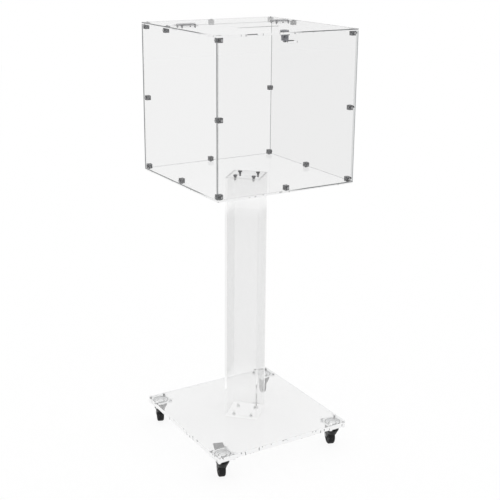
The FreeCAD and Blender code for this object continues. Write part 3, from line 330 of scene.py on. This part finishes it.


# Metals and plastics: two close tones (base and worn), roughness, metres across the grain and its depth.
# Shine is the specular level where it isn't the usual 0.5, and the crease flag adds two lines of painted shade
# round each swivel.
metalLooks = {
    # zinc-plated steel, tumbled: a dull bright skin with a fine cloudiness
    "screw_steel": {"name": "zinc_plated_steel", "base": "#c2c2c3", "worn": "#a4a4a5",
                    "rough": (0.24, 0.42), "grain": 0.0006, "bump": 0.00002},
    # machine screws of the hinges and the column's top: plain steel, oiled dark
    "dark_screw": {"name": "oiled_steel_screw", "base": "#747475", "worn": "#5a5a5c",
                   "rough": (0.2, 0.36), "grain": 0.0006, "bump": 0.00002},
    # cam of the lock: steel blacked in hot oil, so it stands out under the clear lid
    "black_cam": {"name": "oil_blacked_steel", "base": "#404042", "worn": "#323234",
                  "rough": (0.26, 0.42), "grain": 0.0008, "bump": 0.00002},
    # nickel-plated pressed steel: smooth and bright, with faint rolling marks
    "plated_hinge": {"name": "nickel_plated_steel", "base": "#d6d6d7", "worn": "#bcbcbd",
                     "rough": (0.18, 0.34), "grain": 0.0012, "bump": 0.00002},
    # chromed zinc die casting: a dark mirror
    "lock_chrome": {"name": "chromed_die_casting", "base": "#a6a7ab", "worn": "#8c8d91",
                    "rough": (0.06, 0.16), "grain": 0.004, "bump": 0.00001},
    # bright zinc-plated bolts and screws: nearly white in a white room
    "bright_screw": {"name": "bright_zinc_screw", "base": "#fafafa", "worn": "#ececec",
                     "rough": (0.2, 0.34), "grain": 0.0006, "bump": 0.00002},
    # bright zinc-plated pressing: pale, with soft spangle from the plating bath, and painted shade in the creases
    # round each swivel
    "zinc_plate": {"name": "bright_zinc_pressing", "base": "#f8f9f9", "worn": "#f0f1f2",
                   "rough": (0.22, 0.38), "grain": 0.003, "bump": 0.00002, "creaseShaded": True},
}
plasticLooks = {
    # glass-filled nylon cube, moulded with a fine spark texture
    "connector_grey": {"name": "moulded_grey_nylon", "base": "#727274", "worn": "#808182",
                       "rough": (0.38, 0.52), "grain": 0.0005, "bump": 0.00003},
    # black polypropylene fork and pedal, moulded: a satin black with a soft sheen along its edges
    "black_nylon": {"name": "moulded_black_polypropylene", "base": "#060607", "worn": "#0b0b0c",
                    "rough": (0.34, 0.5), "grain": 0.0006, "bump": 0.00004, "shine": 0.25},
    # black thermoplastic rubber tread: duller and greyer than the fork
    "black_tyre": {"name": "moulded_tread_rubber", "base": "#161617", "worn": "#1e1e1f",
                   "rough": (0.55, 0.75), "grain": 0.0008, "bump": 0.00006, "shine": 0.25},
}
# How each kind is grained: noise detail, metres across one clouded or handled patch, strength of the relief
metalSkin = {"metallic": 1.0, "detail": 4.0, "patch": 0.02, "relief": 0.3}
plasticSkin = {"metallic": 0.0, "detail": 3.0, "patch": 1 / 60, "relief": 0.4}
grainSpan = (0.3, 0.7)      # noise over which the roughness rises

# Painted shade in the creases at each caster's raceway edge and rivet head: radii and half width of the two lines
# round the swivel axes
raceRings = {"radii": (0.0205, 0.0105), "half": 0.0009, "soft": 0.0007, "creaseShadeTone": "#39393a"}
swivelAxis = next(joint["pos_m"] for joint in frame["joints"] if joint["name"] == "front_right_swivel_turn")


# 1 on the two lines of painted crease shade, by the distance from the nearest swivel axis in plan
def creaseShadeLines(tree, place):
    corner = addNode(tree, "VectorMath", {"operation": "ABSOLUTE"}, _0=place.outputs["Object"])
    plan = addNode(tree, "VectorMath", {"operation": "MULTIPLY"}, _0=corner.outputs[0], _1=(1, 1, 0))
    away = addNode(tree, "VectorMath", {"operation": "DISTANCE"}, _0=plan.outputs[0],
                   _1=(abs(swivelAxis[0]), abs(swivelAxis[1]), 0))
    lines = []
    for radius in raceRings["radii"]:
        off = addNode(tree, "Math", {"operation": "SUBTRACT"}, _0=away.outputs["Value"], _1=radius)
        width = addNode(tree, "Math", {"operation": "ABSOLUTE"}, _0=off.outputs[0])
        line = addNode(tree, "MapRange", Value=width.outputs[0], From_Min=raceRings["half"],
                       From_Max=raceRings["half"] + raceRings["soft"], To_Min=1.0, To_Max=0.0)
        lines.append(line.outputs[0])
    return addNode(tree, "Math", {"operation": "MAXIMUM"}, _0=lines[0], _1=lines[1]).outputs[0]


# Solid skin: its two tones in wide patches, over a fine grain that shows in the sheen and the relief
def grainedSkin(look, skin):
    material, tree, output = newMaterial(look["name"])
    place = addNode(tree, "TexCoord")
    grain = addNode(tree, "TexNoise", Vector=place.outputs["Object"], Detail=skin["detail"],
                    Scale=1 / look["grain"])
    patch = addNode(tree, "TexNoise", Vector=place.outputs["Object"], Detail=2.0,
                    Scale=1 / skin["patch"])
    colour = blendTone(tree, patch.outputs["Fac"], look["base"], look["worn"])
    # painted shade in the creases round each swivel
    if look.get("creaseShaded"):
        colour = addNode(tree, "Mix", {"data_type": "RGBA"}, _0=creaseShadeLines(tree, place), _6=colour,
                         _7=toLinear(raceRings["creaseShadeTone"])).outputs[2]
    (low, high), (smooth, dull) = grainSpan, look["rough"]
    rough = addNode(tree, "MapRange", Value=grain.outputs["Fac"], From_Min=low, From_Max=high,
                    To_Min=smooth, To_Max=dull)
    relief = addNode(tree, "Bump", Height=grain.outputs["Fac"], Strength=skin["relief"],
                     Distance=look["bump"])
    shader = addNode(tree, "BsdfPrincipled", Base_Color=colour, Metallic=skin["metallic"],
                     Roughness=rough.outputs[0], Normal=relief.outputs[0],
                     Specular_IOR_Level=look.get("shine", 0.5))
    tree.links.new(shader.outputs[0], output.inputs["Surface"])
    return material


finishes = {slotName: grainedSkin(look, metalSkin) for slotName, look in metalLooks.items()}
finishes.update({slotName: grainedSkin(look, plasticSkin) for slotName, look in plasticLooks.items()})
acrylicOf = dict.fromkeys(("column_foot_block", "column_top_block"), bondedAcrylic())
for sheetName, sheet in acrylicSheets.items():
    acrylicOf[sheet["node"]] = castAcrylicSheet(sheetName, sheet)

# Pieces with another finish than their slot's
ownFinish = {"caster_bolts": "bright_screw", "column_foot_screws": "bright_screw",
             "column_top_screws": "dark_screw", "hinge_fixed_screws": "dark_screw",
             "hinge_moving_screws": "dark_screw", "hinge_fixed_nuts": "dark_screw",
             "hinge_moving_nuts": "dark_screw", "lock_cam": "black_cam"}
for part in subparts:
    nodeName = part["node"]
    finish = acrylicOf.get(nodeName) or finishes[ownFinish.get(nodeName, part["material_slot"])]
    for materialSlot in nodes[nodeName].material_slots:
        materialSlot.material = finish


def addModifier(piece, name, kind, **settings):
    modifier = piece.modifiers.new(name, kind)
    for key, value in settings.items():
        setattr(modifier, key, value)


# Touching sheets stand a hair apart, so that light leaves one before it enters the next
for nodeName in acrylicOf:
    addModifier(nodes[nodeName], "joined", "WELD", merge_threshold=castAcrylic["sameCorner"])
    addModifier(nodes[nodeName], "dry_joint", "DISPLACE", strength=-castAcrylic["gap"], mid_level=0.0)
    addModifier(nodes[nodeName], "flat_faces", "EDGE_SPLIT",
                split_angle=math.radians(castAcrylic["flatAngle"]))

# Moulded and pressed edges are a little round: corner radius in metres by node
moulded = {"bottom_cubes": 0.0005, "middle_cubes": 0.0005, "top_cubes": 0.0005, "strip_cubes": 0.0005,
           "front_left_brake_pedal": 0.0007, "rear_right_brake_pedal": 0.0007}
sharpFrom = 40      # degrees past which an edge is rounded
for nodeName, radius in moulded.items():
    addModifier(nodes[nodeName], "joined", "WELD", merge_threshold=castAcrylic["sameCorner"])
    addModifier(nodes[nodeName], "moulded_edge", "BEVEL", width=radius, segments=2,
                angle_limit=math.radians(sharpFrom), use_clamp_overlap=True)
print("finishes set on", len(subparts), "nodes")


# Quads of a grid of rows by columns, closed round the columns and, for a tube, from the last row to the first
def ringFaces(rows, columns, first=0, isTube=False):
    row, column = np.meshgrid(np.arange(rows if isTube else rows - 1), np.arange(columns), indexing="ij")
    nextRow, nextColumn = (row + 1) % rows, (column + 1) % columns
    corners = ((row, column), (row, nextColumn), (nextRow, nextColumn), (nextRow, column))
    return np.stack([first + r * columns + c for r, c in corners], axis=-1).reshape(-1, 4)


# New piece from its points and quads, riding on a body; a ring of no radius is merged into one point
def meshObject(name, points, quads, slotName, body, smoothAngle=35):
    mesh = bpy.data.meshes.new(name)
    mesh.from_pydata(points.tolist(), [], quads.tolist())
    merged = bmesh.new()
    merged.from_mesh(mesh)
    bmesh.ops.remove_doubles(merged, verts=merged.verts, dist=0.0000001)
    merged.to_mesh(mesh)
    merged.free()
    mesh.update()
    piece = bpy.data.objects.new(name, mesh)
    bpy.context.scene.collection.objects.link(piece)
    mesh.materials.append(finishes[slotName])
    mesh.polygons.foreach_set("use_smooth", [True] * len(mesh.polygons))
    mesh.set_sharp_from_angle(angle=math.radians(smoothAngle))
    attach(piece, body)
    return piece


# A frame of three unit vectors whose last one is the given direction
def frameAlong(direction):
    along = np.array(direction, float) / np.linalg.norm(direction)
    helper = np.array([0, 0, 1.0]) if abs(along[2]) < 0.9 else np.array([1.0, 0, 0])
    side = np.cross(helper, along)
    side /= np.linalg.norm(side)
    return np.stack([side, np.cross(along, side), along])


panelScrew = {
    "headRadius": 0.0027, "headHeight": 0.0018, "shankRadius": 0.0014, "shankLength": 0.011,
    "recessReach": 0.0016, "recessWidth": 0.00045, "recessDepth": 0.001, "around": 32,
    "crownRings": 13,           # rings from the middle of the head to its rim
    "crownShare": 0.93,         # share of the head's radius that is crowned
    "crownDrop": 0.28,          # share of its height by which the crown falls
    "rimShare": 0.55,           # share of its height at which the rim ends
    "turn": 0.7,                # radians from one screw's recess to the next one's
}


# Pan head with a cross recess: rings of one radius each, whose height is a crowned profile less the recess,
# a smooth well that is deep where the point lies near either of two crossed lines and near the middle
def panHeadScrew(shape, turn):
    radius, height, shank = shape["headRadius"], shape["headHeight"], shape["shankRadius"]
    crown = np.linspace(0, 1, shape["crownRings"])
    rings = np.concatenate([crown * radius * shape["crownShare"], [radius, radius, shank, shank, 0]])
    dome = height * (1 - shape["crownDrop"] * crown ** 3)
    levels = np.concatenate([dome, [height * shape["rimShare"], 0, 0, -shape["shankLength"],
                                    -shape["shankLength"]]])
    angle = np.linspace(0, 2 * math.pi, shape["around"], endpoint=False) + turn
    across = rings[:, None] * np.cos(angle)
    along = rings[:, None] * np.sin(angle)
    near = np.minimum(np.abs(rings[:, None] * np.cos(angle - turn)),
                      np.abs(rings[:, None] * np.sin(angle - turn)))
    inArm = 1 / (1 + (near / shape["recessWidth"]) ** 6)
    inReach = 1 / (1 + (rings[:, None] / shape["recessReach"]) ** 8)
    well = shape["recessDepth"] * inArm * inReach
    well[len(crown):] = 0
    return np.stack([across, along, levels[:, None] - well], axis=-1)


# Screws at places, each with its outward direction, joined in one mesh
def screwSet(name, shape, places, body):
    points, quads = [], []
    count = 0
    for number, (spot, outward) in enumerate(places):
        local = panHeadScrew(shape, shape["turn"] * number)
        rows, columns = local.shape[:2]
        points.append(local.reshape(-1, 3) @ frameAlong(outward) + np.array(spot))
        quads.append(ringFaces(rows, columns, count)[:, ::-1])
        count += rows * columns
    return meshObject(name, np.concatenate(points), np.concatenate(quads), "screw_steel", body)


# Where the cube connectors take their screws: the middles of the cubes, and the panels outside them
wallFace, _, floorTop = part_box("box_floor")[1]
stripUnder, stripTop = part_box("rear_strip")[0][2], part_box("rear_strip")[1][2]
cubeSide = 0.012
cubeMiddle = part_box("right_wall")[0][0] - cubeSide / 2
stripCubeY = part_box("strip_cubes")[0][1] + cubeSide / 2
bottomLevel = floorTop + cubeSide / 2
middleLevel = (floorTop + stripUnder) / 2
topLevel = stripUnder - cubeSide / 2

wallPlaces = []
for level in (bottomLevel, middleLevel, topLevel):
    for across in (-1, 1):
        for along in (-1, 1):
            wallPlaces.append(((across * wallFace, along * cubeMiddle, level), (across, 0, 0)))
            wallPlaces.append(((across * cubeMiddle, along * wallFace, level), (0, along, 0)))
for across in (-1, 1):
    wallPlaces.append(((across * wallFace, 0, bottomLevel), (across, 0, 0)))
    wallPlaces.append(((0, across * wallFace, bottomLevel), (0, across, 0)))
    wallPlaces.append(((across * wallFace, stripCubeY, topLevel), (across, 0, 0)))
wallPlaces.append(((0, wallFace, topLevel), (0, 1, 0)))
spread = (-cubeMiddle, 0, cubeMiddle)
floorPlaces = [((x, y, floorUnder), (0, 0, -1)) for x in spread for y in spread if x or y]
stripPlaces = [((x, y, stripTop), (0, 0, 1))
               for x in (-cubeMiddle, cubeMiddle) for y in (cubeMiddle, stripCubeY)]
stripPlaces.append(((0, cubeMiddle, stripTop), (0, 0, 1)))

screwSet("wall_screws", panelScrew, wallPlaces, "stand")
screwSet("floor_screws", panelScrew, floorPlaces, "stand")
screwSet("strip_screws", panelScrew, stripPlaces, "stand")
print("panel screws:", len(wallPlaces) + len(floorPlaces) + len(stripPlaces))


barrelThread = {
    "radius": 0.00905, "bore": 0.0082, "pitch": 0.001, "rise": 0.00045, "rowsPerTurn": 8, "around": 48,
    "runOut": 0.0012,           # metres over which the thread dies away at both ends
    "footRoom": 0.0004,         # metres from the barrel's foot to the thread
    "nutRoom": 0.0001,          # and from the thread to the nut
}


# Thread of the lock's barrel: round the axis the radius goes up and down once a pitch, as a triangle wave
# that moves on by one pitch a turn and dies away over the run-out at both ends. The sleeve closes inside the
# barrel's wall, at the bore's radius.
def threadedBarrel(shape, axis, foot, top):
    turns = round((top - foot) / shape["pitch"])
    levels = np.linspace(foot, top, turns * shape["rowsPerTurn"] + 1)
    angle = np.linspace(0, 2 * math.pi, shape["around"], endpoint=False)
    phase = (levels[:, None] / shape["pitch"] - angle / (2 * math.pi)) % 1
    fade = np.clip(np.minimum(levels - foot, top - levels) / shape["runOut"], 0, 1)
    reach = shape["radius"] + shape["rise"] * fade[:, None] * (1 - np.abs(2 * phase - 1))
    bore = np.full((1, shape["around"]), shape["bore"])
    rings = np.concatenate([bore, reach, bore])
    heights = np.concatenate([[foot], levels, [top]])[:, None] + 0 * angle
    return np.stack([axis[0] + rings * np.cos(angle), axis[1] + rings * np.sin(angle), heights], axis=-1)


lockAxis = next(joint["pos_m"] for joint in frame["joints"] if joint["name"] == "lock_turn")
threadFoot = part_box("lock_housing")[0][2] + barrelThread["footRoom"]
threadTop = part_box("lock_nut")[0][2] - barrelThread["nutRoom"]
threadGrid = threadedBarrel(barrelThread, lockAxis, threadFoot, threadTop)
meshObject("lock_thread", threadGrid.reshape(-1, 3), ringFaces(*threadGrid.shape[:2], isTube=True),
           "lock_chrome", "lid", smoothAngle=20)
print("lock thread cut")


studio = {
    "floorSide": 16.0,
    "paper": "#ffffff",
    "paperGlow": 0.9,           # share of the paper that is plain white, seen straight, mirrored or through
    "world": "#ffffff",
    "worldStrength": 1.0,
}


# 1 for what the eye sees straight, in a mirror or through glass, and 0 for light on its way
def seenRay(tree):
    ray = addNode(tree, "LightPath")
    first = addNode(tree, "Math", {"operation": "MAXIMUM"}, _0=ray.outputs["Is Camera Ray"],
                    _1=ray.outputs["Is Glossy Ray"])
    both = addNode(tree, "Math", {"operation": "MAXIMUM"}, _0=first.outputs[0],
                   _1=ray.outputs["Is Transmission Ray"])
    return both.outputs[0]


# White paper sweep that still takes the object's soft shadow
def studioFloor():
    half = studio["floorSide"] / 2
    mesh = bpy.data.meshes.new("studio_floor")
    corners = [(-half, -half, 0), (half, -half, 0), (half, half, 0), (-half, half, 0)]
    mesh.from_pydata(corners, [], [(0, 1, 2, 3)])
    floor = bpy.data.objects.new("studio_floor", mesh)
    bpy.context.scene.collection.objects.link(floor)
    material, tree, output = newMaterial("white_seamless_paper")
    paper = addNode(tree, "BsdfDiffuse", Color=toLinear(studio["paper"]))
    glow = addNode(tree, "Emission", Color=toLinear(studio["paper"]), Strength=1.0)
    share = addNode(tree, "Math", {"operation": "MULTIPLY"}, _0=seenRay(tree), _1=studio["paperGlow"])
    mixed = addNode(tree, "MixShader", _0=share.outputs[0], _1=paper.outputs[0], _2=glow.outputs[0])
    tree.links.new(mixed.outputs[0], output.inputs["Surface"])
    mesh.materials.append(material)


# Even white light from all round, as in a light tent
def studioWorld():
    world = bpy.data.worlds.new("white_studio")
    bpy.context.scene.world = world
    world.use_nodes = True
    tree = world.node_tree
    tree.nodes.clear()
    output = addNode(tree, "OutputWorld")
    glow = addNode(tree, "Background", Color=toLinear(studio["world"]),
                   Strength=studio["worldStrength"])
    tree.links.new(glow.outputs[0], output.inputs["Surface"])


photoCamera = {
    "eye": (-1.3239, -2.1964, 1.3819),
    "look": (0.4965, 0.8158, -0.2965),
    "right": (0.8555, -0.5178, 0.0079),
    "lens": 71.588,
    "sensor": 36,
    "shift": (0.0, -0.02),
    "reach": 60,
}


# Camera at the photograph's place, from its line of sight and its rightward direction
def placeCamera():
    data = bpy.data.cameras.new("photo_camera")
    data.lens = photoCamera["lens"]
    data.sensor_width = photoCamera["sensor"]
    data.shift_x, data.shift_y = photoCamera["shift"]
    data.clip_end = photoCamera["reach"]
    camera = bpy.data.objects.new("photo_camera", data)
    bpy.context.scene.collection.objects.link(camera)
    look = np.array(photoCamera["look"])
    right = np.array(photoCamera["right"])
    right = right - look * (right @ look)
    right /= np.linalg.norm(right)
    look = look / np.linalg.norm(look)
    matrix = np.eye(4)
    matrix[:3, 0] = right
    matrix[:3, 1] = np.cross(right, look)
    matrix[:3, 2] = -look
    matrix[:3, 3] = photoCamera["eye"]
    camera.matrix_world = Matrix(matrix.tolist())
    bpy.context.scene.camera = camera


studioFloor()
studioWorld()
placeCamera()
bpy.context.scene.view_settings.view_transform = "Standard"
print("camera and light placed")
